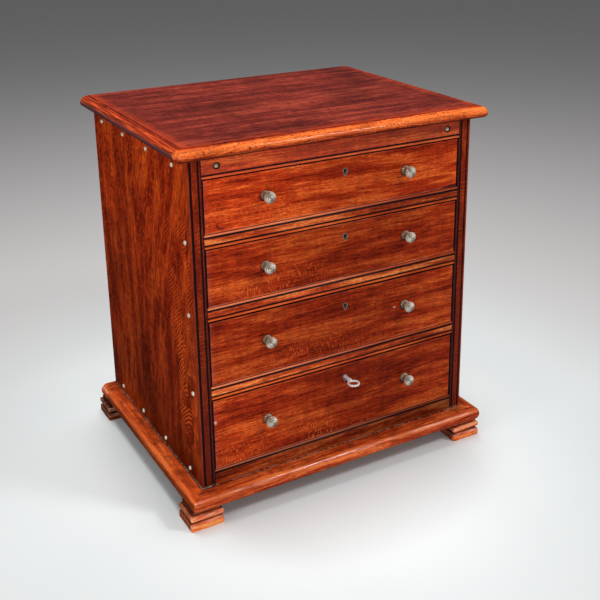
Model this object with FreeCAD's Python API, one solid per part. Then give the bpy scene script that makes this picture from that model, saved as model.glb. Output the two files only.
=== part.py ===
import FreeCAD, Part
import math
import os

V = FreeCAD.Vector

# A small four-drawer tabletop chest, in millimetres. X runs to the right, the front faces -Y,
# Z is up, and the origin is on the ground under the middle of the whole chest.

# Carcase
CARCASE_W = 340.0
CARCASE_D = 277.0
CARCASE_H = 362.0
SIDE_T = 15.4
BACK_T = 8.0
BACK_REBATE = 7.0
BOTTOM_RAIL_H = 18.0
RAIL_H = 15.2
FRIEZE_H = 22.9
UPPER_OPENINGS = [56.8, 62.7, 73.2]
RAIL_D = 42.0
BOTTOM_RAIL_D = 20.0
FRIEZE_D = 20.0
HOUSING = 5.0
SHOULDER = 3.5
TENON_BACK = 7.0
BOTTOM_BOARD_T = 10.0
BOTTOM_BOARD_Z = 3.8
RUNNER_W = 13.0
RUNNER_T = 9.0
CLEAT_W = 27.0
STOP_W = 30.0
STOP_D = 12.0
STOP_H = 3.0
STOP_X = 75.0
STOP_GAP = 0.2

# Beads and grooves worked along the front edges
BEAD_W = 2.6
GROOVE_W = 2.1
GROOVE_DEPTH = 2.0
FLAT_SET = 0.25

# Top board
TOP_T = 12.4
TOP_OVER = 15.3
TOP_MOULD_W = 10.4
TOP_FILLET = 0.6
TOP_NOSE_Z = 5.6
TOP_UNDERCUT = 3.6
TOP_CORNER_R = 7.0

# Base frame
BASE_T = 17.0
BASE_OVER = 19.2
BASE_RAIL_W = 40.0
BASE_REAR_W = 22.0
BASE_CORNER_R = 5.0

# Feet
FOOT_W = 38.0
FOOT_D = 36.5
FOOT_SIDE_OUT = 20.4
FOOT_FRONT_OUT = 14.6
FOOT_REAR_OUT = 8.0
BLOCK_H = 7.4
COVE_H = 3.2
TORUS_H = 7.0
NECK_H = 3.9
NECK_IN = 3.4
COVE_IN = 2.2
FOOT_EASE = 1.6
FOOT_CORNER_R = 2.6
PEG_R = 5.0
PEG_L = 9.0

# Drawers, top one first
SET_BACK = 0.6
DRAWER_SIDE_GAP = 1.4
DRAWER_FLOOR_GAP = 0.3
DRAWER_TOP_GAPS = [1.4, 1.5, 2.1, 2.1]
DRAWER_REAR_GAP = 6.4
FRONT_T = 14.0
FRONT_EASE = 0.8
LINING_T = 7.0
LINING_DROP = 2.5
DOVETAIL_LAP = 5.0
FRONT_TAIL_COUNT = [2, 2, 3, 3]
REAR_TAIL_COUNT = [2, 2, 2, 3]
TAIL_FILL = 0.72
TAIL_ANGLE = 9.0
PANEL_T = 4.0
PANEL_RISE = 6.0
PANEL_GROOVE = 3.0

# Knobs
KNOB_SPREADS = [170.0, 173.5, 174.5, 178.0]
KNOB_X = -2.0
KNOB_RISE = 3.0
KNOB_HEAD_R = 6.15
KNOB_HEAD_T = 3.0
KNOB_CROWN = 0.8
KNOB_EDGE = 0.4
KNOB_BEVEL = 1.1
KNOB_RIM_T = 1.9
KNOB_REACH = 12.8
KNOB_WAIST_R = 2.6
KNOB_FLANGE_R = 4.9
KNOB_FLANGE_T = 1.5
KNOB_STEM_R = 2.0
NUT_W = 7.5
NUT_T = 2.6
STEM_PAST_NUT = 1.4

# Keyholes, locks and key
KEYHOLE_X = 7.0
KEYHOLE_DROPS = [13.8, 14.2, 16.2, 15.0]
KEYHOLE_R = 2.4
KEYHOLE_SLOT_W = 2.5
KEYHOLE_SLOT_L = 4.8
LINER_T = 0.65
LINER_D = 5.0
LINER_PROUD = 0.3
LOCK_W = 42.0
LOCK_PLATE_T = 1.5
SELVEDGE_W = 10.0
CASE_W = 27.0
CASE_D = 8.0
CASE_WALL = 1.0
BOLT_T = 3.2
BOLT_SLACK = 0.3
TONGUE_W = 13.0
BOLT_W = 21.0
BOLT_RIM = 2.2
THROW = 4.2
MORTISE_H = 6.0
MORTISE_PLAY_X = 1.0
MORTISE_PLAY_Y = 0.9
KEY_R = 1.9
KEY_PIN_R = 1.0
KEY_PIN_PLAY = 0.08
KEY_PIN_PAST = 2.0
KEY_BORE_SPARE = 3.0
BIT_R = 4.5
BIT_H = 1.8
TALON_GAP = 0.6
KEY_BOW_OUT = 18.0
KEY_BOW_R = 5.9
KEY_WIRE_R = 1.15
KEY_COLLAR_R = 2.5
KEY_COLLAR_T = 1.5
KEY_COLLAR_OUT = 9.0
KEY_COLLAR_EASE = 0.4
KEY_SHANK_END_R = 1.5
LOCK_SCREW_X = 17.0
LOCK_SCREW_HEAD_R = 2.2
LOCK_SCREW_R = 1.1
LOCK_SCREW_L = 7.0

# Pins and screws of the carcase
PIN_HEAD_R = 1.75
PIN_HEAD_H = 1.1
PIN_R = 0.7
PIN_L = 20.0
PIN_FRONT_Y = 11.2
PIN_TOP_DROP = 13.7
PIN_TOP_START = 36.0
PIN_BOTTOM_START = 31.0
PIN_ROW_ENDS = 65.5
PINS_IN_ROW = 4
FRIEZE_SCREW_IN = 16.1
FRIEZE_SCREW_DROP = 10.9
FRIEZE_SCREW_HEAD_R = 2.3
FRIEZE_SCREW_HEAD_H = 1.4
FRIEZE_SCREW_R = 1.3
FRIEZE_SCREW_L = 32.0
SCREW_RING_R = 3.2
SCREW_RING_D = 1.0
TOP_SCREW_FRONT = 60.0
TOP_SCREW_REAR = 62.0
TOP_SCREW_L = 30.0
TOP_SCREW_SINK = 2.5
FIT = 0.05

# Derived places
DRAWERS = len(UPPER_OPENINGS) + 1
RAILS_H = BOTTOM_RAIL_H + len(UPPER_OPENINGS) * RAIL_H + FRIEZE_H
OPENINGS = UPPER_OPENINGS + [CARCASE_H - RAILS_H - sum(UPPER_OPENINGS)]
FOOT_H = BLOCK_H + COVE_H + TORUS_H + NECK_H
CARCASE_Z = FOOT_H + BASE_T
CARCASE_TOP = CARCASE_Z + CARCASE_H
FRONT_REACH = KEY_BOW_OUT + KEY_BOW_R + KEY_WIRE_R - SET_BACK
FRONT_Y = FRONT_REACH - (FRONT_REACH + CARCASE_D + FOOT_REAR_OUT) / 2
REAR_Y = FRONT_Y + CARCASE_D
HALF_W = CARCASE_W / 2
INNER_W = HALF_W - SIDE_T
FACE_Y = FRONT_Y + SET_BACK
FRONT_IN_Y = FACE_Y + FRONT_T
BOLT_Y = FRONT_IN_Y - CASE_D + CASE_WALL + BOLT_SLACK + BOLT_T / 2
BACK_Y = REAR_Y - BACK_T
DRAWER_W = 2 * (INNER_W - DRAWER_SIDE_GAP)
PIN_PITCH = (CARCASE_D - PIN_ROW_ENDS) / (PINS_IN_ROW - 1)
DRAWER_L = BACK_Y - DRAWER_REAR_GAP - FACE_Y


def opening_floor(i):
    """Height of the floor of drawer opening i, counted from the top."""
    below = sum(OPENINGS[i + 1:]) + (DRAWERS - 1 - i) * RAIL_H
    return CARCASE_Z + BOTTOM_RAIL_H + below


def drawer_low(i):
    return opening_floor(i) + DRAWER_FLOOR_GAP


def drawer_high(i):
    return opening_floor(i) + OPENINGS[i] - DRAWER_TOP_GAPS[i]


def key_z(i):
    return drawer_high(i) - KEYHOLE_DROPS[i]


def box(x0, x1, y0, y1, z0, z1):
    return Part.makeBox(x1 - x0, y1 - y0, z1 - z0, V(x0, y0, z0))


def along_x(x):
    """Places an outline's (u, v) in the plane X = x, u along Y and v along Z."""
    return lambda u, v: V(x, u, v)


def along_y(y):
    """Places an outline's (u, v) in the plane Y = y, u along X and v along Z."""
    return lambda u, v: V(u, y, v)


def along_z(z):
    """Places an outline's (u, v) in the plane Z = z, u along X and v along Y."""
    return lambda u, v: V(u, v, z)


def end_of(step):
    """Where an outline's step ends. A step is a point, or (through, end) for an arc."""
    return step[1] if isinstance(step[0], tuple) else step


def outline(steps, place):
    """Face inside a closed outline."""
    edges = []
    here = place(*steps[0])
    first = here
    for step in list(steps[1:]) + [steps[0]]:
        if isinstance(step[0], tuple):
            end = place(*step[1])
            edges.append(Part.Arc(here, place(*step[0]), end).toShape())
        else:
            end = place(*step)
            if end.distanceToPoint(here) > 1e-6:
                edges.append(Part.makeLine(here, end))
        here = end
    if here.distanceToPoint(first) > 1e-6:
        edges.append(Part.makeLine(here, first))
    return Part.Face(Part.Wire(edges))


def mirrored(steps, far):
    """The same steps walked backwards, mirrored about u = far / 2."""
    turned = []
    points = [end_of(s) for s in steps]
    for k in range(len(steps) - 1, -1, -1):
        u, v = points[k]
        if k + 1 < len(steps) and isinstance(steps[k + 1][0], tuple):
            tu, tv = steps[k + 1][0]
            turned.append(((far - tu, tv), (far - u, v)))
        else:
            turned.append((far - u, v))
    return turned


def shifted(steps, du, dv):
    moved = []
    for s in steps:
        if isinstance(s[0], tuple):
            moved.append(((s[0][0] + du, s[0][1] + dv), (s[1][0] + du, s[1][1] + dv)))
        else:
            moved.append((s[0] + du, s[1] + dv))
    return moved


def turned(profile, centre, axis):
    """Solid of revolution. The profile lists (radius, distance along the axis)."""
    side = V(0, 0, 1) if abs(axis.z) < 0.5 else V(1, 0, 0)

    def place(r, d):
        return centre + side * r + axis * d

    face = outline(profile, place)
    return face.revolve(centre, axis, 360)


def bored(solid, holes):
    for hole in holes:
        solid = solid.cut(hole)
    return solid


def one_solid(shape):
    """The single solid of a boolean's result."""
    return shape.Solids[0] if len(shape.Solids) == 1 else shape


# Moulded slabs: the top board and the base frame

def moulded_slab(x0, x1, y0, y1, z0, section, corner_r):
    """Slab with a section worked on its front and both sides, mitred at the rounded front corners.

    The section lists (distance in from the nose, height), upwards from the underside.
    """
    wide, deep = x1 - x0, y1 - y0
    high = end_of(section[-1])[1]
    across = section + mirrored(section, wide)
    body = outline(shifted(across, x0, z0), along_y(y0)).extrude(V(0, deep, 0))
    run = section + [(deep, high), (deep, 0.0)]
    body = body.common(outline(shifted(run, y0, z0), along_x(x0)).extrude(V(wide, 0, 0)))
    for x, inward in ((x0, 1), (x1, -1)):
        post = box(min(x, x + inward * corner_r), max(x, x + inward * corner_r),
                   y0, y0 + corner_r, z0, z0 + high)
        axis_at = V(x + inward * corner_r, y0 + corner_r, z0)
        strip = outline(run, lambda u, v: axis_at + V(0, u - corner_r, v))
        near = Part.Face(Part.makePolygon([axis_at + V(0, -corner_r, 0), axis_at,
                                           axis_at + V(0, 0, high),
                                           axis_at + V(0, -corner_r, high),
                                           axis_at + V(0, -corner_r, 0)]))
        blade = strip.common(near).Faces[0]
        round_corner = blade.revolve(axis_at, V(0, 0, 1), -90 * inward)
        body = body.cut(post).fuse(round_corner)
    return one_solid(body.removeSplitter())


def top_section():
    """Ovolo with a sunk fillet above and a smaller return below."""
    fall = TOP_T - TOP_FILLET - TOP_NOSE_Z
    bend = 1 - math.sqrt(0.5)
    upper = (TOP_MOULD_W * bend, TOP_NOSE_Z + fall * (1 - bend))
    lower = (TOP_UNDERCUT * bend, TOP_NOSE_Z * bend)
    return [(TOP_UNDERCUT, 0.0), (lower, (0.0, TOP_NOSE_Z)),
            (upper, (TOP_MOULD_W, TOP_T - TOP_FILLET)), (TOP_MOULD_W, TOP_T)]


def base_section():
    """Flat top with a half-round nose."""
    r = BASE_T / 2
    return [(r, 0.0), ((0.0, r), (r, BASE_T))]


def top_board():
    slab = moulded_slab(-HALF_W - TOP_OVER, HALF_W + TOP_OVER, FRONT_Y - TOP_OVER, REAR_Y,
                        CARCASE_TOP, top_section(), TOP_CORNER_R)
    return bored(slab, [screw_hole(s) for s in top_screw_axes()])


def base_pieces():
    x_out = HALF_W + BASE_OVER
    y_out = FRONT_Y - BASE_OVER
    x_in = x_out - BASE_RAIL_W
    y_in = y_out + BASE_RAIL_W
    y_rear = REAR_Y - BASE_REAR_W
    z0 = FOOT_H
    slab = moulded_slab(-x_out, x_out, y_out, REAR_Y, z0, base_section(), BASE_CORNER_R)
    frame = slab.cut(box(-x_in, x_in, y_in, y_rear, z0, z0 + BASE_T))
    frame = bored(frame, [peg for peg in foot_pegs()])

    def part_inside(corners):
        plan = Part.Face(Part.makePolygon([V(x, y, z0) for x, y in corners + corners[:1]]))
        return one_solid(frame.common(plan.extrude(V(0, 0, BASE_T))))

    past = 1.0
    front = [(-x_out - past, y_out - past), (x_out + past, y_out - past), (x_in, y_in), (-x_in, y_in)]
    left = [(-x_out - past, y_out - past), (-x_in, y_in), (-x_in, y_rear), (-x_out - past, y_rear)]
    rear = [(-x_out - past, y_rear), (x_out + past, y_rear), (x_out + past, REAR_Y), (-x_out - past, REAR_Y)]
    return {
        "base_front": part_inside(front),
        "base_left": part_inside(left),
        "base_right": part_inside([(-x, y) for x, y in left]),
        "base_rear": part_inside(rear),
    }


# Feet

def foot_section():
    """One side of a foot, upwards: block, cove, half-round torus and recessed neck."""
    e = FOOT_EASE
    z_cove = BLOCK_H
    z_torus = BLOCK_H + COVE_H
    z_neck = z_torus + TORUS_H
    r = TORUS_H / 2
    soft = e * (1 - math.sqrt(0.5))
    return [(e / 2, 0.0), ((soft / 2, soft / 2), (0.0, e / 2)),
            (0.0, z_cove - e), ((soft, z_cove - soft), (e, z_cove)),
            (COVE_IN, z_cove), ((COVE_IN + COVE_H / 3, z_cove + COVE_H / 2), (COVE_IN, z_torus)),
            (r, z_torus), ((0.0, z_torus + r), (r, z_neck)),
            (NECK_IN, z_neck), (NECK_IN, FOOT_H)]


def foot_places():
    x_out = HALF_W + FOOT_SIDE_OUT
    y_front = FRONT_Y - FOOT_FRONT_OUT
    y_rear = REAR_Y + FOOT_REAR_OUT - FOOT_D
    return {
        "foot_front_left": (-x_out, y_front),
        "foot_front_right": (x_out - FOOT_W, y_front),
        "foot_rear_left": (-x_out, y_rear),
        "foot_rear_right": (x_out - FOOT_W, y_rear),
    }


def peg(x, y, r):
    return Part.makeCylinder(r, PEG_L, V(x + FOOT_W / 2, y + FOOT_D / 2, FOOT_H))


def foot_pegs():
    return [peg(x, y, PEG_R + FIT) for x, y in foot_places().values()]


def foot(x, y):
    side = foot_section()
    across = side + mirrored(side, FOOT_W)
    along = side + mirrored(side, FOOT_D)
    body = outline(shifted(across, x, 0), along_y(y)).extrude(V(0, FOOT_D, 0))
    body = body.common(outline(shifted(along, y, 0), along_x(x)).extrude(V(FOOT_W, 0, 0)))
    post = box(x, x + FOOT_W, y, y + FOOT_D, 0, FOOT_H)
    uprights = [e for e in post.Edges if abs(e.tangentAt(e.FirstParameter).z) > 0.9]
    body = body.common(post.makeFillet(FOOT_CORNER_R, uprights))
    return one_solid(body.fuse(peg(x, y, PEG_R)))


# Carcase

def reeded(length_t, depth, low=True, high=True):
    """Section of a board whose front edge has a bead and groove along one or both arrises.

    u runs across the board's thickness and v back from the front edge.
    """
    r = BEAD_W / 2
    run = BEAD_W + GROOVE_W
    worked = [(0.0, r), ((r, 0.0), (BEAD_W, r)),
              ((BEAD_W + GROOVE_W / 2, GROOVE_DEPTH), (run, FLAT_SET))]
    steps = [(0.0, depth)]
    steps += worked if low else [(0.0, FLAT_SET)]
    steps += mirrored(worked, length_t) if high else [(length_t, FLAT_SET)]
    return steps + [(length_t, depth)]


def rail_heights():
    """Lower edge of each drawer rail, from the one under drawer 1 down."""
    return [opening_floor(i) - RAIL_H for i in range(DRAWERS - 1)]


def tenon(sign, y0, y1, z0, z1):
    x = sorted((sign * INNER_W, sign * (INNER_W + HOUSING)))
    return box(x[0], x[1], y0, y1, z0, z1)


def tenons():
    """Stub tenons of the rails and the ends of the bottom board, both sides."""
    made = []
    y0 = FRONT_Y + TENON_BACK
    spans = [(z, z + RAIL_H, RAIL_D) for z in rail_heights()]
    spans.append((CARCASE_Z, CARCASE_Z + BOTTOM_RAIL_H, BOTTOM_RAIL_D))
    spans.append((CARCASE_TOP - FRIEZE_H, CARCASE_TOP, FRIEZE_D))
    for z0, z1, depth in spans:
        made.append((y0, FRONT_Y + depth, z0 + SHOULDER, z1 - SHOULDER))
    z0 = CARCASE_Z + BOTTOM_BOARD_Z
    made.append((FRONT_Y + BOTTOM_RAIL_D, BACK_Y, z0, z0 + BOTTOM_BOARD_T))
    return made


def side_panel(sign):
    def place(u, v):
        return V(sign * (HALF_W - u), FRONT_Y + v, CARCASE_Z)

    body = outline(reeded(SIDE_T, CARCASE_D), place).extrude(V(0, 0, CARCASE_H))
    body = body.cut(back_board())
    body = bored(body, [tenon(sign, *t) for t in tenons()])
    return one_solid(bored(body, pin_holes(sign)))


def rail(z0, height, depth, tenon_at, low=True, high=True):
    def place(u, v):
        return V(-INNER_W, FRONT_Y + v, z0 + u)

    body = outline(reeded(height, depth, low, high), place).extrude(V(2 * INNER_W, 0, 0))
    for sign in (-1, 1):
        body = body.fuse(tenon(sign, *tenon_at))
        body = bored(body, pin_holes(sign))
    return one_solid(body.removeSplitter())


def drawer_rail(i):
    """Rail between drawers i and i + 1, with the mortise for the lower drawer's lock."""
    body = rail(rail_heights()[i], RAIL_H, RAIL_D, tenons()[i])
    return one_solid(body.cut(bolt_mortise(i + 1)))


def bottom_rail():
    return rail(CARCASE_Z, BOTTOM_RAIL_H, BOTTOM_RAIL_D, tenons()[DRAWERS - 1], low=False)


def frieze_rail():
    body = rail(CARCASE_TOP - FRIEZE_H, FRIEZE_H, FRIEZE_D, tenons()[DRAWERS], high=False)
    body = body.cut(bolt_mortise(0))
    for axis in frieze_screw_axes():
        body = body.cut(screw_hole(axis))
        ring = Part.makeCylinder(SCREW_RING_R, SCREW_RING_D, axis[0], V(0, 1, 0))
        body = body.cut(ring)
    return one_solid(body)


def bolt_mortise(i):
    """Pocket above drawer i, where its lock's bolt goes."""
    z0 = opening_floor(i) + OPENINGS[i]
    half_x = TONGUE_W / 2 + MORTISE_PLAY_X
    half_y = BOLT_T / 2 + MORTISE_PLAY_Y
    return box(KEYHOLE_X - half_x, KEYHOLE_X + half_x, BOLT_Y - half_y, BOLT_Y + half_y,
               z0, z0 + MORTISE_H)


def back_board():
    half = INNER_W + BACK_REBATE
    return box(-half, half, BACK_Y, REAR_Y, CARCASE_Z, CARCASE_TOP)


def bottom_board():
    z0 = CARCASE_Z + BOTTOM_BOARD_Z
    half = INNER_W + HOUSING
    body = box(-half, half, FRONT_Y + BOTTOM_RAIL_D, BACK_Y, z0, z0 + BOTTOM_BOARD_T)
    for sign in (-1, 1):
        body = bored(body, pin_holes(sign))
    return one_solid(body)


def drawer_runners():
    """A pair of strips behind each rail, level with its top, and a pair on the bottom board."""
    strips = []
    for i in range(DRAWERS):
        top = opening_floor(i)
        last = i == DRAWERS - 1
        low = CARCASE_Z + BOTTOM_BOARD_Z + BOTTOM_BOARD_T if last else top - RUNNER_T
        y0 = FRONT_Y + (BOTTOM_RAIL_D if last else RAIL_D)
        for x in (-INNER_W, INNER_W - RUNNER_W):
            strips.append(box(x, x + RUNNER_W, y0, BACK_Y, low, top))
    return strips


def top_cleats():
    """Strips under the top board that hold it, the frieze rail and drawer 1 down."""
    cleats = []
    holes = [screw_hole(a) for a in frieze_screw_axes() + top_screw_axes()]
    for sign in (-1, 1):
        x = sorted((sign * INNER_W, sign * (INNER_W - CLEAT_W)))
        strip = box(x[0], x[1], FRONT_Y + FRIEZE_D, BACK_Y, CARCASE_TOP - FRIEZE_H, CARCASE_TOP)
        cleats.append(one_solid(bored(strip, holes + pin_holes(sign))))
    return cleats


def drawer_stops():
    """Small blocks on the rails that the backs of the drawer fronts come home against."""
    y0 = FRONT_IN_Y + STOP_GAP
    blocks = []
    for i in range(DRAWERS):
        depth = BOTTOM_RAIL_D - SET_BACK - FRONT_T - STOP_GAP if i == DRAWERS - 1 else STOP_D
        z0 = opening_floor(i)
        for x in (-STOP_X, STOP_X):
            blocks.append(box(x - STOP_W / 2, x + STOP_W / 2, y0, y0 + depth, z0, z0 + STOP_H))
    return blocks


# Pins and screws

def pin_places():
    """(y, z) of the round-headed pins of one side."""
    mids = [z + RAIL_H / 2 for z in rail_heights()]
    places = [(FRONT_Y + PIN_FRONT_Y, z) for z in mids]
    low = CARCASE_Z + BOTTOM_BOARD_Z + BOTTOM_BOARD_T / 2
    for k in range(PINS_IN_ROW):
        places.append((FRONT_Y + PIN_TOP_START + k * PIN_PITCH, CARCASE_TOP - PIN_TOP_DROP))
        places.append((FRONT_Y + PIN_BOTTOM_START + k * PIN_PITCH, low))
    return places


def pin_holes(sign):
    r = PIN_R + FIT
    return [Part.makeCylinder(r, PIN_L, V(sign * HALF_W, y, z), V(-sign, 0, 0)) for y, z in pin_places()]


def side_pins():
    pins = []
    r, h = PIN_HEAD_R, PIN_HEAD_H
    bend = math.sqrt(0.5)
    profile = [(0.0, h), ((r * bend, h * bend), (r, 0.0)), (PIN_R, 0.0), (PIN_R, -PIN_L), (0.0, -PIN_L)]
    for sign in (-1, 1):
        for y, z in pin_places():
            pins.append(turned(profile, V(sign * HALF_W, y, z), V(sign, 0, 0)))
    return pins


def frieze_screw_axes():
    """(head seat, direction out, shank radius, length) of the screws in the frieze rail."""
    x = INNER_W - FRIEZE_SCREW_IN
    z = CARCASE_TOP - FRIEZE_SCREW_DROP
    return [(V(s * x, FRONT_Y, z), V(0, -1, 0), FRIEZE_SCREW_R, FRIEZE_SCREW_L) for s in (-1, 1)]


def top_screw_axes():
    """The screws that go up through the cleats into the top board."""
    z = CARCASE_TOP - FRIEZE_H + TOP_SCREW_SINK
    x = INNER_W - CLEAT_W / 2
    return [(V(s * x, y, z), V(0, 0, -1), FRIEZE_SCREW_R, TOP_SCREW_L)
            for s in (-1, 1) for y in (FRONT_Y + TOP_SCREW_FRONT, REAR_Y - TOP_SCREW_REAR)]


def screw_hole(axis):
    seat, out, r, length = axis
    shank = Part.makeCylinder(r + FIT, length, seat, out * -1)
    return shank.fuse(Part.makeCylinder(FRIEZE_SCREW_HEAD_R + FIT, TOP_SCREW_SINK, seat, out))


def screw(axis):
    """Round-headed wood screw."""
    seat, out, r, length = axis
    head = FRIEZE_SCREW_HEAD_R
    rise = FRIEZE_SCREW_HEAD_H
    bend = math.sqrt(0.5)
    profile = [(0.0, rise), ((head * bend, rise * bend), (head, 0.0)), (r, 0.0),
               (r, -length + 3 * r), (0.0, -length)]
    return turned(profile, seat, out)


def carcase_screws():
    screws = [screw(axis) for axis in top_screw_axes()]
    for seat, out, r, length in frieze_screw_axes():
        screws.append(screw((seat + V(0, SCREW_RING_D, 0), out, r, length - SCREW_RING_D)))
    return screws


# Drawers

def tail_points(count, y_root, y_tip, z_low, z_high):
    """Outline of a row of dovetails standing from y_root to y_tip, listed upwards."""
    pitch = (z_high - z_low) / count
    half = pitch * TAIL_FILL / 2
    flare = abs(y_tip - y_root) * math.tan(math.radians(TAIL_ANGLE))
    points = []
    for k in range(count):
        mid = z_low + (k + 0.5) * pitch
        points += [(y_root, mid - half + flare), (y_tip, mid - half),
                   (y_tip, mid + half), (y_root, mid + half - flare)]
    return points


def drawer_panel(i):
    """Bottom of drawer i, let into the front and sides and run under the back."""
    half = DRAWER_W / 2 - LINING_T + PANEL_GROOVE
    z0 = drawer_low(i) + PANEL_RISE
    return box(-half, half, FRONT_IN_Y - PANEL_GROOVE, FACE_Y + DRAWER_L, z0, z0 + PANEL_T)


def drawer_side(i, sign):
    z0 = drawer_low(i)
    z1 = drawer_high(i) - LINING_DROP
    panel_top = z0 + PANEL_RISE + PANEL_T
    y_end = FACE_Y + DRAWER_L
    y_back = y_end - LINING_T
    front_tails = tail_points(FRONT_TAIL_COUNT[i], FRONT_IN_Y, FACE_Y + DOVETAIL_LAP, z0, z1)
    rear_tails = tail_points(REAR_TAIL_COUNT[i], y_back, y_end, panel_top, z1)
    steps = [(FRONT_IN_Y, z0)] + front_tails + [(FRONT_IN_Y, z1), (y_back, z1)]
    steps += rear_tails[::-1] + [(y_back, panel_top), (y_end, panel_top), (y_end, z0)]
    x = sign * DRAWER_W / 2
    body = outline(steps, along_x(x)).extrude(V(-sign * LINING_T, 0, 0))
    return one_solid(body.cut(drawer_panel(i)))


def drawer_back(i):
    z0 = drawer_low(i) + PANEL_RISE + PANEL_T
    z1 = drawer_high(i) - LINING_DROP
    y_end = FACE_Y + DRAWER_L
    body = box(-DRAWER_W / 2, DRAWER_W / 2, y_end - LINING_T, y_end, z0, z1)
    return one_solid(bored(body, [drawer_side(i, -1), drawer_side(i, 1)]))


def drawer_front(i):
    half = DRAWER_W / 2
    block = box(-half, half, FACE_Y, FRONT_IN_Y, drawer_low(i), drawer_high(i))
    face_edges = [e for e in block.Edges if all(abs(v.Y - FACE_Y) < 1e-6 for v in e.Vertexes)]
    body = block.makeFillet(FRONT_EASE, face_edges)
    body = bored(body, [drawer_side(i, -1), drawer_side(i, 1), drawer_panel(i)])
    for x, z in knob_places(i):
        body = body.cut(Part.makeCylinder(KNOB_STEM_R + FIT, FRONT_T, V(x, FACE_Y, z), V(0, 1, 0)))
    body = body.cut(keyhole(i, LINER_T, FACE_Y, FRONT_IN_Y))
    return one_solid(bored(body, lock_recess(i)))


# Knobs

def knob_places(i):
    z = (drawer_low(i) + drawer_high(i)) / 2 + KNOB_RISE
    return [(KNOB_X + s * KNOB_SPREADS[i] / 2, z) for s in (-1, 1)]


def knob(x, z):
    """Turned knob: flange, waist and slightly crowned disc head, on a stem with a nut inside."""
    crown_low = KNOB_REACH - KNOB_CROWN
    head_low = crown_low - KNOB_HEAD_T
    rim_low = crown_low - KNOB_EDGE - KNOB_RIM_T
    stem_end = -FRONT_T - NUT_T - STEM_PAST_NUT
    face_r = KNOB_HEAD_R - KNOB_EDGE
    bend = 1 - math.sqrt(0.5)
    neck_mid = (KNOB_FLANGE_T + head_low) / 2
    profile = [(0.0, KNOB_REACH), ((face_r * 0.6, KNOB_REACH - KNOB_CROWN * 0.36), (face_r, crown_low)),
               ((KNOB_HEAD_R - KNOB_EDGE * bend, crown_low - KNOB_EDGE * bend),
                (KNOB_HEAD_R, crown_low - KNOB_EDGE)),
               (KNOB_HEAD_R, rim_low), (KNOB_HEAD_R - KNOB_BEVEL, head_low),
               ((KNOB_WAIST_R, neck_mid), (KNOB_FLANGE_R - KNOB_BEVEL, KNOB_FLANGE_T)),
               (KNOB_FLANGE_R, KNOB_FLANGE_T - KNOB_EDGE), (KNOB_FLANGE_R, 0.0),
               (KNOB_STEM_R, 0.0), (KNOB_STEM_R, stem_end), (0.0, stem_end)]
    return turned(profile, V(x, FACE_Y, z), V(0, -1, 0))


def knob_nut(x, z):
    half = NUT_W / 2
    nut = box(x - half, x + half, FRONT_IN_Y, FRONT_IN_Y + NUT_T, z - half, z + half)
    return nut.cut(Part.makeCylinder(KNOB_STEM_R + FIT, NUT_T, V(x, FRONT_IN_Y, z), V(0, 1, 0)))


def drawer_knobs(i):
    pieces = []
    for x, z in knob_places(i):
        pieces += [knob(x, z), knob_nut(x, z)]
    return pieces


# Keyholes and locks

def keyhole(i, grow, y0, y1):
    """Keyhole-shaped prism: a round with a round-ended slot below it."""
    z = key_z(i)
    r = KEYHOLE_R + grow
    half = KEYHOLE_SLOT_W / 2 + grow
    foot = KEYHOLE_SLOT_L - KEYHOLE_SLOT_W / 2
    meet = math.sqrt(r * r - half * half)
    steps = [(KEYHOLE_X + half, z - meet), ((KEYHOLE_X, z + r), (KEYHOLE_X - half, z - meet)),
             (KEYHOLE_X - half, z - foot), ((KEYHOLE_X, z - foot - half), (KEYHOLE_X + half, z - foot))]
    return outline(steps, along_y(y0)).extrude(V(0, y1 - y0, 0))


def escutcheon(i):
    """Thread lining of the keyhole."""
    y0 = FACE_Y - LINER_PROUD
    y1 = FACE_Y + LINER_D
    return one_solid(keyhole(i, LINER_T, y0, y1).cut(keyhole(i, 0.0, y0, y1)))


def lock_low(i):
    """Underside of the lock's case, under the bolt's lowest place."""
    return key_z(i) - KEY_R - BOLT_SLACK - THROW - BOLT_RIM - BOLT_SLACK - CASE_WALL


def lock_recess(i):
    z1 = drawer_high(i)
    z0 = lock_low(i)
    x = KEYHOLE_X
    y1 = FRONT_IN_Y
    plate = box(x - LOCK_W / 2, x + LOCK_W / 2, y1 - LOCK_PLATE_T, y1, z0, z1)
    case = box(x - CASE_W / 2, x + CASE_W / 2, y1 - CASE_D, y1, z0, z1)
    lip = box(x - LOCK_W / 2, x + LOCK_W / 2, y1 - SELVEDGE_W, y1, z1 - LOCK_PLATE_T, z1)
    return [plate, case, lip] + [lock_screw_hole(x, z) for x, z in lock_screw_places(i)]


def lock_case(i):
    """Back plate, boxed cap and top selvedge, open inside for the bolt, with the key's pin."""
    plate, case, lip = lock_recess(i)[:3]
    z1 = drawer_high(i)
    z0 = lock_low(i)
    x = KEYHOLE_X
    y1 = FRONT_IN_Y
    body = plate.fuse([case, lip])
    half = CASE_W / 2 - CASE_WALL
    room = box(x - half, x + half, y1 - CASE_D + CASE_WALL, y1 - LOCK_PLATE_T,
               z0 + CASE_WALL, z1 - LOCK_PLATE_T)
    slot_x = TONGUE_W / 2 + BOLT_SLACK
    slot_y = BOLT_T / 2 + BOLT_SLACK
    slot = box(x - slot_x, x + slot_x, BOLT_Y - slot_y, BOLT_Y + slot_y, z1 - LOCK_PLATE_T, z1)
    body = bored(body, [room, slot, keyhole(i, 0.0, y1 - CASE_D, y1 - CASE_D + CASE_WALL)])
    pin = Part.makeCylinder(KEY_PIN_R, CASE_D - LOCK_PLATE_T + KEY_PIN_PAST,
                            V(x, y1 - LOCK_PLATE_T, key_z(i)), V(0, -1, 0))
    body = bored(body.fuse(pin), [lock_screw_hole(x, z) for x, z in lock_screw_places(i)])
    return one_solid(body.removeSplitter())


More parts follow.
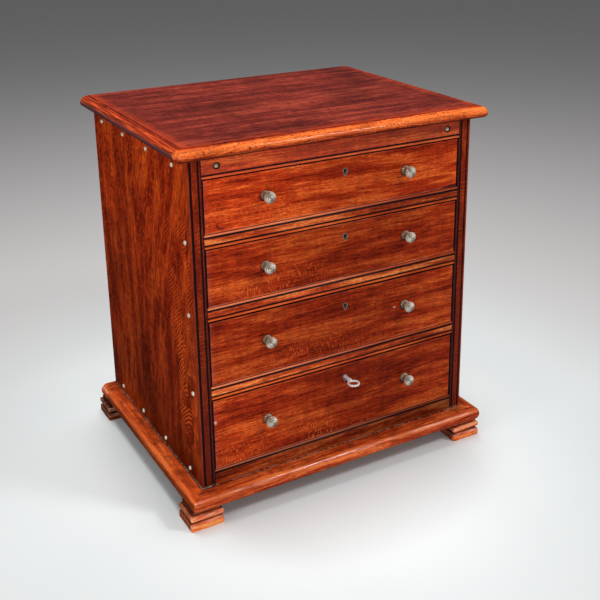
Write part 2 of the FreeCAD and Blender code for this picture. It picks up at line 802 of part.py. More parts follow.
def lock_screw_places(i):
    z = (drawer_high(i) + lock_low(i)) / 2
    return [(KEYHOLE_X + s * LOCK_SCREW_X, z) for s in (-1, 1)]


def lock_screw_profile(grow):
    """Countersunk screw, its head level with the plate. Distances run in from the plate's face."""
    sink = LOCK_SCREW_HEAD_R - LOCK_SCREW_R
    return [(0.0, 0.0), (LOCK_SCREW_HEAD_R + grow, 0.0), (LOCK_SCREW_R + grow, -sink),
            (LOCK_SCREW_R + grow, -LOCK_SCREW_L), (0.0, -LOCK_SCREW_L)]


def lock_screw_hole(x, z):
    return turned(lock_screw_profile(FIT), V(x, FRONT_IN_Y, z), V(0, 1, 0))


def lock_with_screws(i):
    screws = [turned(lock_screw_profile(0.0), V(x, FRONT_IN_Y, z), V(0, 1, 0))
              for x, z in lock_screw_places(i)]
    return [lock_case(i)] + screws


def lock_bolt(i):
    """Bolt plate with a window for the key's bit and a tongue up through the selvedge."""
    z = key_z(i)
    x = KEYHOLE_X
    y0, y1 = BOLT_Y - BOLT_T / 2, BOLT_Y + BOLT_T / 2
    low = lock_low(i) + CASE_WALL + BOLT_SLACK
    high = drawer_high(i) - LOCK_PLATE_T - THROW - BOLT_SLACK
    plate = box(x - BOLT_W / 2, x + BOLT_W / 2, y0, y1, low, high)
    room = KEY_R + BOLT_SLACK
    around_barrel = box(x - room, x + room, y0, y1, low + BOLT_RIM, z + room)
    under_talon = box(x, x + BIT_R + BOLT_SLACK, y0, y1, low + BOLT_RIM, z + BIT_H / 2 + TALON_GAP)
    tongue = box(x - TONGUE_W / 2, x + TONGUE_W / 2, y0, y1, high, drawer_high(i))
    return one_solid(bored(plate.fuse(tongue), [around_barrel, under_talon]).removeSplitter())


# Key

def key():
    """Pipe key in the bottom drawer's lock: barrel, bit, collar and ring bow, a quarter turn on."""
    i = DRAWERS - 1
    at = V(KEYHOLE_X, FACE_Y, key_z(i))
    out = V(0, -1, 0)
    tip = FRONT_IN_Y - LOCK_PLATE_T - BOLT_SLACK - FACE_Y
    bow_near = KEY_BOW_OUT - KEY_BOW_R
    ring_low, ring_high = KEY_COLLAR_OUT, KEY_COLLAR_OUT + KEY_COLLAR_T
    ease = KEY_COLLAR_EASE
    barrel = turned([(0.0, -tip), (KEY_R, -tip), (KEY_R, ring_low),
                     (KEY_COLLAR_R, ring_low + ease), (KEY_COLLAR_R, ring_high - ease), (KEY_R, ring_high),
                     (KEY_SHANK_END_R, bow_near), (0.0, bow_near)], at, out)
    bit_half = BOLT_T / 2
    bit = box(at.x, at.x + BIT_R, BOLT_Y - bit_half, BOLT_Y + bit_half,
              at.z - BIT_H / 2, at.z + BIT_H / 2)
    bow = Part.makeTorus(KEY_BOW_R, KEY_WIRE_R, at + out * KEY_BOW_OUT, V(0, 0, 1))
    bore = Part.makeCylinder(KEY_PIN_R + KEY_PIN_PLAY, CASE_D + KEY_BORE_SPARE,
                             V(at.x, FACE_Y + tip, at.z), out)
    return one_solid(barrel.fuse([bit, bow]).cut(bore).removeSplitter())


def pieces():
    """Every node's name with its solids."""
    made = {
        "top_board": top_board(),
        "side_panel_left": side_panel(-1),
        "side_panel_right": side_panel(1),
        "back_board": back_board(),
        "bottom_board": bottom_board(),
        "frieze_rail": frieze_rail(),
        "bottom_rail": bottom_rail(),
        "drawer_runners": drawer_runners(),
        "drawer_stops": drawer_stops(),
        "top_cleats": top_cleats(),
        "side_pins": side_pins(),
        "carcase_screws": carcase_screws(),
        "key": key(),
    }
    made.update(base_pieces())
    for name, (x, y) in foot_places().items():
        made[name] = foot(x, y)
    for i in range(DRAWERS - 1):
        made["drawer_rail_%d" % (i + 1)] = drawer_rail(i)
    for i in range(DRAWERS):
        name = "drawer_%d_" % (i + 1)
        made[name + "front"] = drawer_front(i)
        made[name + "side_left"] = drawer_side(i, -1)
        made[name + "side_right"] = drawer_side(i, 1)
        made[name + "back"] = drawer_back(i)
        made[name + "bottom"] = drawer_panel(i)
        made[name + "knobs"] = drawer_knobs(i)
        made[name + "escutcheon"] = escutcheon(i)
        made[name + "lock_case"] = lock_with_screws(i)
        made[name + "lock_bolt"] = lock_bolt(i)
    return made


os.makedirs("parts", exist_ok=True)
for node, shape in pieces().items():
    if isinstance(shape, list):
        shape = Part.makeCompound(shape)
    shape.exportStep("parts/%s.step" % node)
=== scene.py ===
"""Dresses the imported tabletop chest: mahogany, plain linings, metalwork, studio and camera."""
import math

import bpy
from mathutils import Matrix, Vector


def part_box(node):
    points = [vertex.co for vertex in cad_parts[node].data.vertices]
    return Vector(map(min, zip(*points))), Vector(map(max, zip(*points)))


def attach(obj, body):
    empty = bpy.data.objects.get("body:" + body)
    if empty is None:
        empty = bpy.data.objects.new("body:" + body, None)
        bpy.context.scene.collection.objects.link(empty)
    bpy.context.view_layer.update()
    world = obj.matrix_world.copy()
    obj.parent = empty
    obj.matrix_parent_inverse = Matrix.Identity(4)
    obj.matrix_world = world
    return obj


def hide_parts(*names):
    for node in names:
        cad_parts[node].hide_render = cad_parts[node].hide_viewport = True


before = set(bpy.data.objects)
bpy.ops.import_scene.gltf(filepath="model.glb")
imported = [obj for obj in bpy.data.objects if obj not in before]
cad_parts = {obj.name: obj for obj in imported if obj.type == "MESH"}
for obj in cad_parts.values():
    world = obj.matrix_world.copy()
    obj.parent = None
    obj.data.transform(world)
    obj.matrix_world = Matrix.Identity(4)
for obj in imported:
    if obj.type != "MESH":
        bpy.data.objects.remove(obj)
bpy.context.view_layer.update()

MM = 0.001
FULL_TURN = 2 * math.pi
DRAWERS = (1, 2, 3, 4)

# The polish: a thin, slightly blurred shellac film over a nearly matt ground.
POLISH_SPECULAR = 0.03
POLISH_COAT = 0.07
POLISH_BLUR = 0.1
POLISH_RELIEF = 0.12 * MM

# Mahogany from its dark streaks to its light ones, as light reflected in red, green and blue.
TOP_WOOD = ((0.045, 0.005, 0.004), (0.115, 0.012, 0.008), (0.23, 0.036, 0.018))
TOP_SIDE_MOULDING = ((0.05, 0.004, 0.003), (0.33, 0.025, 0.006), (0.74, 0.09, 0.018))
SIDE_WOOD = ((0.1, 0.003, 0.0005), (0.34, 0.018, 0.001), (0.84, 0.115, 0.009))
FRONT_WOOD = ((0.16, 0.008, 0.002), (0.44, 0.034, 0.005), (0.82, 0.14, 0.022))
RAIL_WOOD = ((0.12, 0.01, 0.003), (0.46, 0.055, 0.012), (0.95, 0.27, 0.07))
BASE_WOOD = ((0.13, 0.008, 0.002), (0.56, 0.056, 0.009), (1.0, 0.24, 0.06))
FOOT_WOOD = ((0.2, 0.018, 0.004), (0.66, 0.11, 0.022), (1.0, 0.3, 0.08))
LINING_WOOD = ((0.26, 0.1, 0.033), (0.43, 0.2, 0.078), (0.6, 0.33, 0.14))

# What lies on the wood: dirt, wear and bloom; and painted highlights, sheen and shade that stand
# in for light.
# Near black: real dirt in some places, painted shade in grooves, gaps, coves and round the knobs.
DIRT_AND_SHADE = (0.012, 0.009, 0.012)
DUST = (0.42, 0.38, 0.33)
PALE_ARRIS_HIGHLIGHT = (0.42, 0.24, 0.25)
UNDERSIDE_SHADE = (0.13, 0.05, 0.055)
RUBBED_AND_HIGHLIT = (0.86, 0.19, 0.035)
WORN_ARRIS_HIGHLIGHT = (0.9, 0.33, 0.2)
LOWER_EDGE_HIGHLIGHT = (0.85, 0.34, 0.2)
BRUISE = (0.06, 0.012, 0.01)
SCRATCH = (0.8, 0.45, 0.36)
STILE = (0.13, 0.013, 0.006)
STILE_BEAD = (0.36, 0.045, 0.02)
FRIEZE_BLOOM = (0.4, 0.1, 0.06)
RAIL_BEAD_HIGHLIGHT = (1.0, 0.38, 0.19)
BASE_NOSE_HIGHLIGHT = (1.0, 0.52, 0.42)
BASE_LEFT_PAINTED_LIGHT = (1.0, 0.16, 0.03)
FOOT_HIGHLIGHT = (1.0, 0.6, 0.45)
LINING_STAIN = (0.16, 0.07, 0.03)

# Metals, each bright where it is rubbed and dull where it isn't; the knob's neck and hollow and
# the pins' feet carry painted light and shade.
KNOB_METAL = ((1.0, 0.9, 0.76), (0.36, 0.25, 0.16))
KNOB_NECK_LIT = (1.0, 0.92, 0.78)
KNOB_NECK_SHADE = (0.3, 0.19, 0.1)
KNOB_BACK = (0.3, 0.17, 0.07)
KNOB_HOLLOW_SHADE = (0.08, 0.05, 0.035)
STEEL = ((0.62, 0.58, 0.52), (0.24, 0.2, 0.16))
KEY_STEEL = ((1.0, 1.0, 1.0), (0.8, 0.76, 0.72))
SCREW_BRASS = ((1.0, 0.9, 0.62), (0.4, 0.3, 0.15))
PIN_BRASS = ((1.0, 0.98, 0.86), (0.9, 0.78, 0.52))
PIN_FOOT_SHADE = (0.1, 0.06, 0.03)

# The layers of a board's figure: the width of their grains, or their length and width.
BAND_WIDTH = 15 * MM
STREAK_WIDTH = 3.4 * MM
GRIT = (4.5 * MM, 1.1 * MM)
RIPPLE = (8 * MM, 26 * MM)
PORE = (7 * MM, 0.42 * MM)
PATCH = (60 * MM, 45 * MM)


class Field:
    """A number that changes over a surface, written as a socket that takes part in sums."""

    def __init__(self, nodes, socket):
        self.nodes = nodes
        self.socket = socket

    def __add__(self, other):
        return self.nodes.math("ADD", self, other)

    def __radd__(self, other):
        return self.nodes.math("ADD", other, self)

    def __sub__(self, other):
        return self.nodes.math("SUBTRACT", self, other)

    def __rsub__(self, other):
        return self.nodes.math("SUBTRACT", other, self)

    def __mul__(self, other):
        return self.nodes.math("MULTIPLY", self, other)

    def __truediv__(self, other):
        return self.nodes.math("DIVIDE", self, other)

    def __rtruediv__(self, other):
        return self.nodes.math("DIVIDE", other, self)

    def __abs__(self):
        return self.nodes.math("ABSOLUTE", self)

    def sign(self):
        return self.nodes.math("SIGN", self)

    def sine(self):
        return self.nodes.math("SINE", self)

    def root(self):
        return self.nodes.math("SQRT", self)

    def most(self, other):
        return self.nodes.math("MAXIMUM", self, other)

    def least(self, other):
        return self.nodes.math("MINIMUM", self, other)

    def rise(self, low, high):
        """0 at low and 1 at high, with a soft step between; where low is above high it falls."""
        if low > high:
            return 1 - self.rise(high, low)
        settings = {"interpolation_type": "SMOOTHSTEP", "clamp": True}
        sockets = {0: self, 1: low, 2: high, 3: 0.0, 4: 1.0}
        return self.nodes.node("ShaderNodeMapRange", settings, sockets)

    def within(self, low, high, soft):
        """1 from low to high, with soft shoulders outside."""
        return self.rise(low - soft, low) * self.rise(high + soft, high)


class Nodes:
    """A node tree, and the few ways in which it is written."""

    def __init__(self, tree):
        self.tree = tree
        self.tree.nodes.clear()

    def node(self, kind, settings, sockets, output=0):
        """Adds a node: its settings first, then the values or links of its sockets."""
        made = self.tree.nodes.new(kind)
        for key, value in settings.items():
            if key == "stops":
                self.set_stops(made.color_ramp, value)
            else:
                setattr(made, key, value)
        for key, value in sockets.items():
            if isinstance(value, Field):
                self.tree.links.new(value.socket, made.inputs[key])
            else:
                made.inputs[key].default_value = value
        return Field(self, made.outputs[output]) if made.outputs else None

    def set_stops(self, ramp, stops):
        while len(ramp.elements) < len(stops):
            ramp.elements.new(1.0)
        for element, (place, colour) in zip(ramp.elements, stops):
            element.position = place
            element.color = (*colour, 1.0)

    def fields(self, field):
        """Every output of the node that a field comes from, by its name."""
        return {socket.name: Field(self, socket) for socket in field.socket.node.outputs}

    def split(self, vector):
        parts = self.node("ShaderNodeSeparateXYZ", {}, {0: vector})
        return tuple(self.fields(parts).values())

    def math(self, operation, *values):
        return self.node("ShaderNodeMath", {"operation": operation}, dict(enumerate(values)))

    def vector(self, x, y, z):
        return self.node("ShaderNodeCombineXYZ", {}, {0: x, 1: y, 2: z})

    def ray(self, kind):
        """1 for the rays of one kind, such as Is Camera Ray, and 0 for all others."""
        return self.node("ShaderNodeLightPath", {}, {}, kind)

    def either(self, where, usual, special):
        """One shader where a number is 0, and another where it is 1."""
        return self.node("ShaderNodeMixShader", {}, {0: where, 1: usual, 2: special})


class Finish(Nodes):
    """One material's node tree."""

    def __init__(self, name):
        self.material = bpy.data.materials.new(name)
        self.material.use_nodes = True
        super().__init__(self.material.node_tree)
        self.x, self.y, self.z = self.split(self.node("ShaderNodeTexCoord", {}, {}, "Object"))

    def noise(self, vector, detail=2.0, roughness=0.5):
        sockets = {"Vector": vector, "Scale": 1.0, "Detail": detail, "Roughness": roughness}
        return self.node("ShaderNodeTexNoise", {}, sockets)

    def speckle(self, size, detail=2.0):
        """Noise that is alike in every direction, with grains of this size."""
        return self.noise(self.vector(self.x / size, self.y / size, self.z / size), detail)

    def ramp(self, factor, *stops):
        return self.node("ShaderNodeValToRGB", {"stops": stops}, {0: factor})

    def colour(self, value):
        return value if isinstance(value, Field) else (*value, 1.0)

    def lay(self, under, over, where):
        """Lays one colour over another, as far as where goes from 0 to 1."""
        sockets = {0: where, 6: self.colour(under), 7: self.colour(over)}
        return self.node("ShaderNodeMix", {"data_type": "RGBA"}, sockets, 2)

    def tint(self, colour, amount):
        """Makes a colour lighter or darker by a number that changes over the surface."""
        sockets = {0: colour, "Scale": amount}
        return self.node("ShaderNodeVectorMath", {"operation": "SCALE"}, sockets)

    def held(self, colour):
        """Keeps a colour within what a surface can reflect."""
        sockets = {0: colour, 1: (1.0, 1.0, 1.0)}
        return self.node("ShaderNodeVectorMath", {"operation": "MINIMUM"}, sockets)

    def bump(self, height, distance):
        return self.node("ShaderNodeBump", {}, {"Height": height, "Distance": distance})

    def principled(self, sockets):
        return self.node("ShaderNodeBsdfPrincipled", {}, sockets)

    def surface(self, shader):
        """Ends the tree in this shader and returns the material."""
        self.node("ShaderNodeOutputMaterial", {}, {0: shader})
        return self.material


class Wood(Finish):
    """The finish of one board, with its grain along one axis of the chest.

    sawn says where in the log the board lay, so that no two boards are alike; wave and
    wave_length say how its grain wanders; fibre and hair are a fine grain's length and width.
    """

    def __init__(self, name, grain, board, sawn, wave=5 * MM, wave_length=220 * MM,
                 fibre=24 * MM, hair=1.2 * MM, bend=None):
        super().__init__(name)
        run, across, deep = {"X": (self.x, self.z, self.y), "Y": (self.y, self.z, self.x),
                             "Z": (self.z, self.y, self.x)}[grain]
        self.low, self.high = board
        self.run = run + sawn * 1.7
        broad = wave_length * 0.6
        drift = self.noise(self.vector(self.run / wave_length, across / broad, deep / broad), 1.5)
        self.across = across + sawn + (drift - 0.5) * (2 * wave)
        if bend:
            self.across = self.across + bend(self)
        self.deep = deep + sawn * 0.6
        self.bands = self.grain_noise(5 * fibre, BAND_WIDTH, 2.0).rise(0.34, 0.66)
        self.streaks = self.grain_noise(2 * fibre, STREAK_WIDTH, 3.0).rise(0.32, 0.68)
        self.hairs = self.grain_noise(fibre, hair, 2.0).rise(0.3, 0.7)
        self.grit = self.grain_noise(*GRIT).rise(0.32, 0.68)
        self.ripple = self.grain_noise(*RIPPLE).rise(0.34, 0.66)
        self.pores = self.grain_noise(*PORE).rise(0.6, 0.7)
        self.patches = self.grain_noise(*PATCH).rise(0.42, 0.6)

    def grain_noise(self, length, width, detail=1.0):
        """Noise whose grains are this long and wide."""
        stretched = self.vector(self.run / length, self.across / width, self.deep / width)
        return self.noise(stretched, detail, 0.6)

    def figure(self, tones, band_share=0.3, streak_share=0.34):
        """The board's own colour, from its dark streaks to its light ones."""
        hair_share = 1 - band_share - streak_share
        shade = self.bands * band_share + self.streaks * streak_share + self.hairs * hair_share
        dark, middle, light = tones
        wood = self.ramp(shade, (0.1, dark), (0.5, middle), (0.9, light))
        return self.tint(wood, 0.66 + self.grit * 0.5 + self.ripple * 0.2 - self.pores * 0.5)

    def flecks(self, length, width, threshold):
        """Short bright flecks, fewer as the threshold rises."""
        return self.grain_noise(length, width).rise(threshold, threshold + 0.12)

    def arris(self, width):
        """1 along the board's outer edges, fading out over width."""
        gaps = [(value - low).least(high - value)
                for value, low, high in zip((self.x, self.y, self.z), self.low, self.high)]
        least = gaps[0].least(gaps[1]).least(gaps[2])
        most = gaps[0].most(gaps[1]).most(gaps[2])
        return (gaps[0] + gaps[1] + gaps[2] - least - most).rise(width, 0)

    def polished(self, colour, gloss=0.3, shine=0.0):
        """French polish: pores almost filled, the gloss a little uneven, shine where rubbed."""
        height = self.hairs * 0.5 - self.pores * 0.8 + self.patches * 0.4
        return self.surface(self.principled({
            "Base Color": self.held(colour),
            "Roughness": gloss + self.hairs * 0.1 + self.pores * 0.15,
            "Specular IOR Level": POLISH_SPECULAR,
            "Coat Weight": POLISH_COAT + shine, "Coat Roughness": POLISH_BLUR,
            "Normal": self.bump(height, POLISH_RELIEF)}))


def mahogany(node_name, grain, sawn, **figure):
    """The wood of one CAD node."""
    return Wood("mahogany_" + node_name, grain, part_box(node_name), sawn, **figure)


def distance(across, up):
    """How far a place lies from the point that both fields are measured from."""
    return (across * across + up * up).root()


def dress(node_name, material):
    """Gives a CAD node its finish."""
    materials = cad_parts[node_name].data.materials
    materials.clear()
    materials.append(material)


# Carcase

TOP_EDGE = 10.4 * MM
GROOVE_START = 0.45 * MM
GROOVE_FULL = 1.3 * MM
FRIEZE_SCREW_X = 138.5 * MM
FRIEZE_SCREW_Z = 389.6 * MM

side_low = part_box("side_panel_left")[0]
side_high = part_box("side_panel_right")[1]


def top_finish():
    """The polished top: a maroon field in a redder moulded edge, with wear and a painted
    highlight along its nose and painted shade beneath it.
    """
    wood = Wood("mahogany_top", "X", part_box("top_board"), 0.31,
                wave=16 * MM, wave_length=120 * MM, fibre=42 * MM)
    behind = wood.y - wood.low.y
    inward = (wood.x - wood.low.x).least(wood.high.x - wood.x).least(behind)
    drop = wood.high.z - wood.z
    rim = inward.rise(TOP_EDGE + 0.4 * MM, TOP_EDGE - 0.4 * MM)
    colour = wood.lay(top_field(wood, inward), top_moulding(wood, behind), rim)
    colour = wood.tint(colour, 1 - rim * drop.rise(1.4 * MM, 0.4 * MM) * 0.3)
    # The nose of the moulding: partly wear, and a painted highlight, far stronger along the front
    # than at the sides.
    forward = behind.rise(16 * MM, 8 * MM)
    nose = drop.within(0.8 * MM, 6.8 * MM, 1.2 * MM) * inward.rise(8 * MM, 4 * MM)
    rubbed = nose * (forward * 0.8 + 0.1)
    colour = wood.lay(colour, RUBBED_AND_HIGHLIT, rubbed * (0.35 + wood.streaks * 0.65))
    # Painted shade under the nose of the moulding.
    shaded_underside = (drop - forward * (2 * MM)).rise(6 * MM, 9 * MM)
    colour = wood.tint(colour, 1 - shaded_underside * 0.75)
    # Painted shade and reflection: dull lavender low on the side mouldings.
    colour = wood.lay(colour, UNDERSIDE_SHADE, drop.rise(4.2 * MM, 6.5 * MM) * (1 - forward) * 0.7)
    dents = wood.grain_noise(3.2 * MM, 1.1 * MM).rise(0.6, 0.66) * rim
    pits = wood.speckle(2.4 * MM, 1.0).rise(0.66, 0.72) * rim * wood.patches
    colour = wood.lay(colour, DIRT_AND_SHADE, dents.most(pits) * 0.8)
    seam = inward.within(TOP_EDGE - 0.7 * MM, TOP_EDGE, 0.4 * MM)
    colour = wood.lay(colour, DIRT_AND_SHADE, seam * wood.speckle(14 * MM).rise(0.4, 0.6) * 0.45)
    shine = drop.within(1.5 * MM, 8 * MM, 1 * MM) * wood.streaks * 0.2
    return wood.polished(colour, 0.32, shine)


def top_field(wood, inward):
    """The flat of the top: clouded maroon, warmer towards its moulded edge."""
    clouds = wood.speckle(120 * MM).rise(0.38, 0.62)
    colour = wood.tint(wood.figure(TOP_WOOD, 0.34, 0.36), 0.74 + clouds * 0.52)
    warmth = inward.rise(24 * MM, TOP_EDGE) * (clouds * 0.2 + wood.hairs * 0.35)
    return wood.lay(colour, BASE_WOOD[1], warmth)


def top_moulding(wood, behind):
    """The moulded edge: bright long grain in front, and darker streaks along both sides."""
    stretched = wood.vector(wood.x / (1.5 * MM), wood.y / (45 * MM), wood.z / (1.5 * MM))
    dark, middle, light = TOP_SIDE_MOULDING
    sides = wood.ramp(wood.noise(stretched, 3.0), (0.36, dark), (0.52, middle), (0.68, light))
    return wood.lay(sides, wood.figure(BASE_WOOD, 0.25, 0.3), behind.rise(12 * MM, 9 * MM))


def side_finish(node_name, outer_x, sawn):
    """A side board: upright grain, orange flecks, arches low at the front, a reeded edge, painted
    shade towards its foot and a painted highlight along its arrises.
    """
    wood = mahogany(node_name, "Z", sawn, wave=9 * MM, wave_length=130 * MM, fibre=18 * MM,
                    hair=0.7 * MM, bend=fanned_grain)
    colour = wood.tint(wood.figure(SIDE_WOOD, 0.36, 0.14), 1.15)
    rearward = (wood.y - wood.low.y).rise(60 * MM, 170 * MM)
    strewn = 0.15 + wood.patches * 0.3 + rearward * 0.55
    colour = wood.lay(colour, SIDE_WOOD[2], wood.flecks(4.5 * MM, 1.5 * MM, 0.57) * strewn)
    smoke = wood.speckle(110 * MM, 1.0).rise(0.4, 0.62)
    # Painted shade: darker towards the foot of the side, as the light falls off.
    height = (wood.z - wood.low.z).rise(0.0, 330 * MM)
    colour = wood.tint(colour, 0.26 + smoke * 0.18 + height * 0.48)
    colour = wood.lay(colour, SIDE_WOOD[2], arched_figure(wood))
    colour = wood.lay(colour, SIDE_WOOD[2], slanting_figure(wood) * 0.7)
    colour = reeded_edge(wood, colour, abs(wood.x - outer_x), height)
    # Painted highlight along the arrises.
    colour = wood.lay(colour, PALE_ARRIS_HIGHLIGHT, wood.arris(0.5 * MM) * wood.streaks * 0.14)
    at_foot = (wood.z - wood.low.z).rise(1.4 * MM, 0.3 * MM)
    colour = wood.lay(colour, DUST, at_foot * wood.speckle(3 * MM).rise(0.35, 0.6) * 0.6)
    return wood.polished(colour, 0.34)


def reeded_edge(wood, colour, inside, height):
    """Lays the dark front edge of a side over its colour, with painted shade near black in the
    grooves and in the gap beside the drawers.
    """
    behind = wood.y - wood.low.y
    groove = behind.rise(GROOVE_START, GROOVE_FULL) * behind.rise(4 * MM, 3 * MM)
    groove = groove * inside.rise(0.8 * MM, 1.6 * MM)
    edge_face = behind.rise(2.5 * MM, 1.5 * MM)
    # The stile's dark tone, laid more heavily towards the foot as painted shade.
    colour = wood.lay(colour, STILE, edge_face * (0.8 - height * 0.3))
    # Painted shadow: the inner edge by the drawers near black, as the gap beside them.
    colour = wood.lay(colour, DIRT_AND_SHADE, edge_face * inside.rise(12.6 * MM, 15.0 * MM) * 0.9)
    # Painted shade: the grooves near black.
    colour = wood.lay(colour, DIRT_AND_SHADE, groove * 0.98)
    outer_bead = edge_face * inside.within(0.2 * MM, 1.6 * MM, 0.5 * MM)
    return wood.lay(colour, STILE_BEAD, outer_bead * (0.15 + wood.streaks * 0.4))


def fanned_grain(wood):
    """The way the grain of a side leans towards its front edge in the upper half."""
    near_front = (wood.y - wood.low.y).rise(220 * MM, 0.0)
    return (wood.z - 170 * MM).most(0.0) * near_front * 0.3


def arched_figure(wood):
    """Thin arches of lighter wood, one above another, where the saw cut through the rings."""
    behind = wood.y - wood.low.y
    beside = (behind - 24 * MM) / (12 * MM)
    wander = (wood.speckle(30 * MM) - 0.5) * 3.4
    turn = (wood.z / (5.6 * MM) + beside * beside * 0.75 + wander) * FULL_TURN
    line = turn.sine().rise(0.25, 1.0) * wood.speckle(24 * MM).rise(0.44, 0.56)
    here = behind.within(6 * MM, 44 * MM, 10 * MM) * wood.z.within(90 * MM, 200 * MM, 30 * MM)
    return line * here


def slanting_figure(wood):
    """Fine pale lines that rise towards the front edge, high on the side."""
    behind = wood.y - wood.low.y
    wander = (wood.speckle(45 * MM) - 0.5) * 3
    turn = ((wood.y + wood.z * 1.2) / (5.5 * MM) + wander) * FULL_TURN
    line = turn.sine().rise(0.3, 1.0) * wood.speckle(16 * MM).rise(0.42, 0.62)
    here = behind.within(6 * MM, 55 * MM, 25 * MM) * wood.z.within(215 * MM, 320 * MM, 40 * MM)
    return line * here


def rail_finish(node_name, sawn):
    """A reeded rail: light orange, lighter towards its left end as painted sheen, with painted
    highlights on its bead crests and painted shade near black in its grooves.
    """
    wood = mahogany(node_name, "X", sawn)
    behind = wood.y - wood.low.y
    colour = wood.figure(FRONT_WOOD if node_name == "frieze_rail" else RAIL_WOOD, 0.4, 0.28)
    from_edge = (wood.z - wood.low.z).least(wood.high.z - wood.z)
    bead = from_edge.rise(3.0 * MM, 2.4 * MM)
    colour = wood.lay(colour, BASE_WOOD[1], bead * 0.6)
    # Painted sheen: lighter towards the left end, darker towards the right.
    sheen_leftward = (wood.x - wood.low.x).rise(300 * MM, 30 * MM)
    # Painted highlights along the crests of the beads, brightest towards the left.
    upper = (wood.high.z - wood.z).rise(2.6 * MM, 2.0 * MM)
    highlit_crest = bead * behind.rise(0.7 * MM, 0.1 * MM)
    colour = wood.tint(colour, 0.7 + sheen_leftward * 0.55)
    glow = sheen_leftward * 0.5 + wood.streaks * 0.1
    colour = wood.lay(colour, RAIL_BEAD_HIGHLIGHT, highlit_crest * upper * glow)
    colour = wood.lay(colour, RUBBED_AND_HIGHLIT, highlit_crest * (1 - upper) * wood.streaks * 0.5)
    if node_name == "bottom_rail":
        colour = wood.tint(colour, 0.5)
    if node_name == "frieze_rail":
        colour = wood.lay(wood.tint(colour, 1.35), FRIEZE_BLOOM, 0.3)
        colour = wood.lay(colour, DIRT_AND_SHADE, round_frieze_screws(wood) * 0.8)
    # Painted shade: near black in the grooves and on the faces set back from the front.
    colour = wood.lay(colour, DIRT_AND_SHADE, behind.rise(GROOVE_START, GROOVE_FULL) * 0.97)
    return wood.polished(colour)


def round_frieze_screws(wood):
    """1 in the dark ring round each of the two screws of the frieze."""
    radius = distance(abs(wood.x) - FRIEZE_SCREW_X, wood.z - FRIEZE_SCREW_Z)
    return radius.within(2.6 * MM, 3.7 * MM, 0.5 * MM)


def base_finish(node_name, grain, sawn):
    """The half-round base: warm orange, with a painted highlight along its nose and painted shade
    low on it, the left piece painted lighter, dusty against the carcase.
    """
    wood = mahogany(node_name, grain, sawn)
    colour = wood.tint(wood.figure(BASE_WOOD), 0.86)
    colour = wood.lay(colour, DIRT_AND_SHADE, wood.flecks(14 * MM, 1.0 * MM, 0.62) * 0.6)
    drop = wood.high.z - wood.z
    # Painted highlight along the nose.
    nose = drop.within(1.5 * MM, 5.0 * MM, 2.0 * MM)
    colour = wood.lay(colour, RUBBED_AND_HIGHLIT, nose * (0.1 + wood.streaks * 0.5))
    if node_name == "base_left":
        # Painted light: the left piece lighter and more orange, with painted shade on the lower
        # half of its nose.
        colour = wood.lay(wood.tint(colour, 1.3), BASE_LEFT_PAINTED_LIGHT, 0.28)
        colour = wood.tint(colour, 1 - drop.rise(1.5 * MM, 5.5 * MM) * 0.7)
    else:
        # Painted highlight along the crest of the nose.
        highlit_crest = drop.within(2.6 * MM, 3.6 * MM, 0.9 * MM) * (0.2 + wood.patches * 0.5)
        colour = wood.lay(colour, BASE_NOSE_HIGHLIGHT, highlit_crest * wood.streaks)
    # Painted shade low on the base, under its nose.
    colour = wood.tint(colour, 1 - drop.rise(11 * MM, 17 * MM) * 0.4)
    stained = drop.rise(1.0 * MM, 0.2 * MM) * wood.speckle(12 * MM).rise(0.5, 0.66)
    colour = wood.lay(colour, DIRT_AND_SHADE, stained * 0.4)
    joint = beside_carcase(wood).within(-0.2 * MM, 1.3 * MM, 0.6 * MM)
    colour = wood.lay(colour, DIRT_AND_SHADE, joint * 0.8)
    shine = drop.within(1.5 * MM, 9 * MM, 1 * MM) * (0.2 + wood.streaks * 0.5)
    return wood.polished(wood.lay(colour, DUST, dust_line(wood)), 0.28, shine)


def beside_carcase(wood):
    """How far outside the carcase's foot a place on the base lies."""
    return (side_low.x - wood.x).most(wood.x - side_high.x).most(side_low.y - wood.y)


def dust_line(wood):
    """A thin grey line of old wax round the foot of the carcase."""
    on_top = (wood.high.z - wood.z).rise(0.6 * MM, 0.2 * MM)
    broken = wood.speckle(5 * MM).rise(0.44, 0.56)
    line = beside_carcase(wood).within(-0.2 * MM, 0.5 * MM, 0.4 * MM)
    return line * on_top * broken * 0.75


def foot_finish(node_name, sawn):
    """A block foot: orange, with painted shade in its coves and on the rear foot, its front faces
    painted lighter, and painted highlights on its beads and arrises.
    """
    wood = mahogany(node_name, "X", sawn)
    colour = wood.figure(FOOT_WOOD, 0.3, 0.3)
    height = wood.z - wood.low.z
    lower_cove = height.within(8.0 * MM, 10.2 * MM, 0.6 * MM)
    upper_cove = height.within(17.8 * MM, 21.5 * MM, 0.6 * MM)
    # Painted shade in the coves.
    colour = wood.lay(colour, DIRT_AND_SHADE, lower_cove.most(upper_cove) * 0.75)
    # Painted light and shade: front faces lighter, the rear left foot darker.
    facing = (wood.y - wood.low.y).rise(5 * MM, 2.5 * MM)
    shaded = node_name == "foot_rear_left"
    colour = wood.tint(colour, 0.25 if shaded else 0.5 + facing * 1.1)
    # Painted highlights on the beads and arrises, strongest on the front faces.
    lower_bead = height.within(6.2 * MM, 7.4 * MM, 0.6 * MM)
    upper_bead = height.within(14.0 * MM, 16.6 * MM, 1.0 * MM)
    foot_highlight = lower_bead.most(upper_bead).most(wood.arris(0.8 * MM))
    foot_highlight = foot_highlight * (0.2 + facing * 0.8) * (wood.hairs * 0.8 - 0.1)
    return wood.polished(wood.lay(colour, FOOT_HIGHLIGHT, foot_highlight), 0.24, 0.5)


# Drawers, from the top one down: how light each front is, darker down the chest partly as painted
# shade, and how much painted sheen lightens its left end

